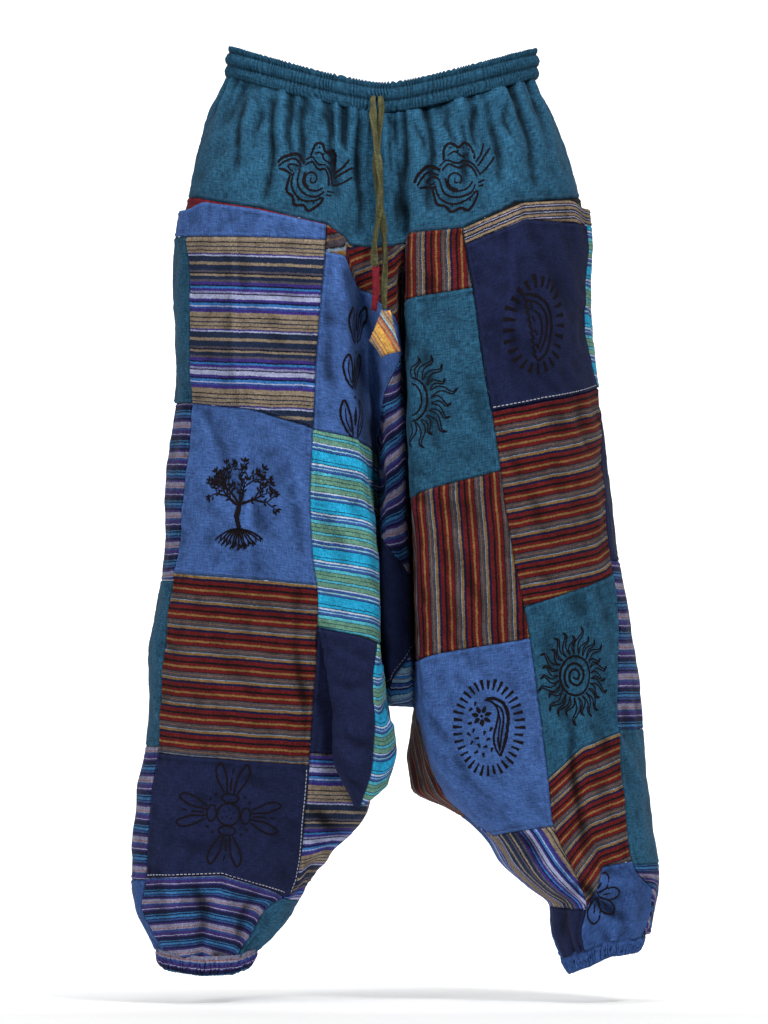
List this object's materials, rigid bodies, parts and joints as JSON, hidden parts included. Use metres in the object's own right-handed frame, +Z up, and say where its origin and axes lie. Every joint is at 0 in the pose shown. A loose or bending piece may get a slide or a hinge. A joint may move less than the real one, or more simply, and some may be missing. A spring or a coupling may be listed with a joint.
{
  "type": "patchwork pants",
  "caption": "Wide drop-crotch patchwork trousers, filled out as worn, with a gathered waist, drawstring, patch pockets and gathered ankle cuffs.",
  "frame": {"origin": "centre of the waist, at the height of the waistband's channel, where the wearer holds it up", "axes": "+Z up, the garment's front faces -Y, and its left side as seen from the front is at -X"},
  "size_m": [0.57, 0.3212, 1.0074],
  "materials": {
    "teal_melange": "plain weave cotton, teal and dark yarns mixed, soft and matt",
    "blue_melange": "plain weave cotton, blue and dark yarns mixed, soft and matt",
    "navy_cotton": "plain weave cotton, navy, matt",
    "black_cotton": "plain weave cotton, black, matt",
    "maroon_cotton": "plain weave cotton, dark red, matt",
    "red_stripe": "striped cotton in dark red, gold, grey and black",
    "tan_stripe": "striped cotton in tan, slate, purple and sky blue",
    "hem_stripe": "striped cotton in light blue, white, tan and navy",
    "purple_stripe": "striped cotton in lavender, purple, blue and navy",
    "turquoise_stripe": "striped cotton in turquoise, green and white",
    "light_stripe": "striped cotton in light blue, navy and orange",
    "olive_cord": "flat crumpled cotton tape, olive",
    "yellow_stripe": "padded cotton, yellow and orange stripes",
    "print_ink": "dark block print, matt and slightly worn",
    "thread": "pale cotton sewing thread"
  },
  "bodies": {
    "root": {"yoke_front": "teal_melange", "yoke_back": "teal_melange", "waistband": "teal_melange", "left_pocket_side": "teal_melange", "left_back_teal_upper": "teal_melange", "left_back_teal_lower": "teal_melange", "left_teal_cuff_patch": "teal_melange", "right_teal_half_sun": "teal_melange", "right_teal_sun": "teal_melange", "right_back_teal": "teal_melange", "left_blue_tree": "blue_melange", "left_pocket_hem": "blue_melange", "centre_blue_leaf": "blue_melange", "right_blue_paisley": "blue_melange", "right_blue_cuff_patch": "blue_melange", "left_back_blue": "blue_melange", "right_inside_blue": "blue_melange", "left_navy_vajra": "navy_cotton", "left_inner_navy": "navy_cotton", "gusset_navy": "navy_cotton", "gusset_back_navy": "navy_cotton", "right_pocket_panel": "navy_cotton", "right_navy_cuff_patch": "navy_cotton", "right_back_navy": "navy_cotton", "pouch_navy": "navy_cotton", "right_pocket_backing": "black_cotton", "left_pocket_backing": "maroon_cotton", "tab_maroon": "maroon_cotton", "left_red_stripe": "red_stripe", "centre_red_stripe": "red_stripe", "right_red_stripe": "red_stripe", "right_red_lower": "red_stripe", "right_red_small": "red_stripe", "right_red_upright": "red_stripe", "right_inside_red": "red_stripe", "left_pocket_panel": "tan_stripe", "left_inner_tan": "tan_stripe", "right_tan_stripe": "tan_stripe", "right_pocket_hem": "hem_stripe", "left_purple_cuff_patch": "purple_stripe", "gusset_purple": "purple_stripe", "left_back_purple_upper": "purple_stripe", "left_back_purple_lower": "purple_stripe", "right_back_purple": "purple_stripe", "right_back_purple_cuff": "purple_stripe", "left_cuff": "purple_stripe", "left_turquoise": "turquoise_stripe", "pouch_turquoise": "turquoise_stripe", "right_pocket_side": "turquoise_stripe", "right_back_turquoise": "turquoise_stripe", "gusset_light_turn": "light_stripe", "right_cuff": "light_stripe", "drawstring_short": "olive_cord", "drawstring_long": "olive_cord", "tab_yellow": "yellow_stripe"}
  },
  "joints": []
}
